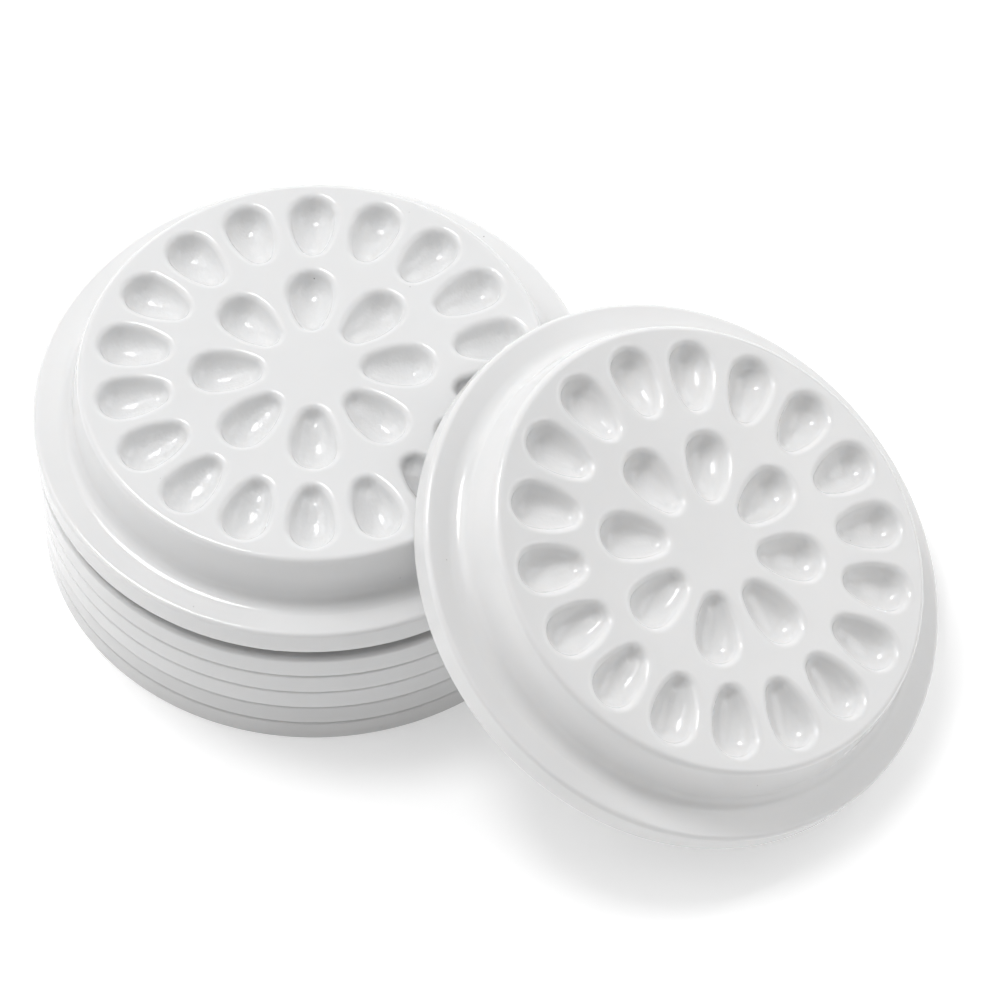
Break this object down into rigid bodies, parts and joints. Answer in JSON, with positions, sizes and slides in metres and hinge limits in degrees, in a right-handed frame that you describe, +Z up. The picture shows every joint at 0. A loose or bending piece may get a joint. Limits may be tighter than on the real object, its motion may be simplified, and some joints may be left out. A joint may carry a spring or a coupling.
{
  "type": "mixing palette",
  "caption": "Nested stack of round thin-walled plastic mixing palettes with rings of egg-shaped wells in a raised plateau over a rim, and another leaning on it.",
  "frame": {"origin": "middle of the bounding box of the whole group, on the plane that the stack and the leaning palette stand on", "axes": "+Z up along the axis of the stack, +X from the stack towards the side where the leaning palette stands, -Y towards the front of the group"},
  "size_m": [0.1018, 0.0828, 0.0348],
  "materials": {
    "white_plastic": "glossy opaque white polystyrene"
  },
  "bodies": {
    "palette_1": {"palette_1": "white_plastic"},
    "palette_2": {"palette_2": "white_plastic"},
    "palette_3": {"palette_3": "white_plastic"},
    "palette_4": {"palette_4": "white_plastic"},
    "palette_5": {"palette_5": "white_plastic"},
    "palette_6": {"palette_6": "white_plastic"},
    "leaning_palette": {"leaning_palette": "white_plastic"}
  },
  "joints": [
    {"name": "lift_palette_2", "type": "slide", "parent": "palette_1", "child": "palette_2", "axis": [0, 0, 1], "range_m": [0, 0.03]},
    {"name": "lift_palette_3", "type": "slide", "parent": "palette_2", "child": "palette_3", "axis": [0, 0, 1], "range_m": [0, 0.03]},
    {"name": "lift_palette_4", "type": "slide", "parent": "palette_3", "child": "palette_4", "axis": [0, 0, 1], "range_m": [0, 0.03]},
    {"name": "lift_palette_5", "type": "slide", "parent": "palette_4", "child": "palette_5", "axis": [0, 0, 1], "range_m": [0, 0.03]},
    {"name": "lift_palette_6", "type": "slide", "parent": "palette_5", "child": "palette_6", "axis": [0, 0, 1], "range_m": [0, 0.03]},
    {"name": "lift_leaning_palette", "type": "slide", "parent": "palette_6", "child": "leaning_palette", "axis": [0, 0, 1], "range_m": [0, 0.045]}
  ]
}
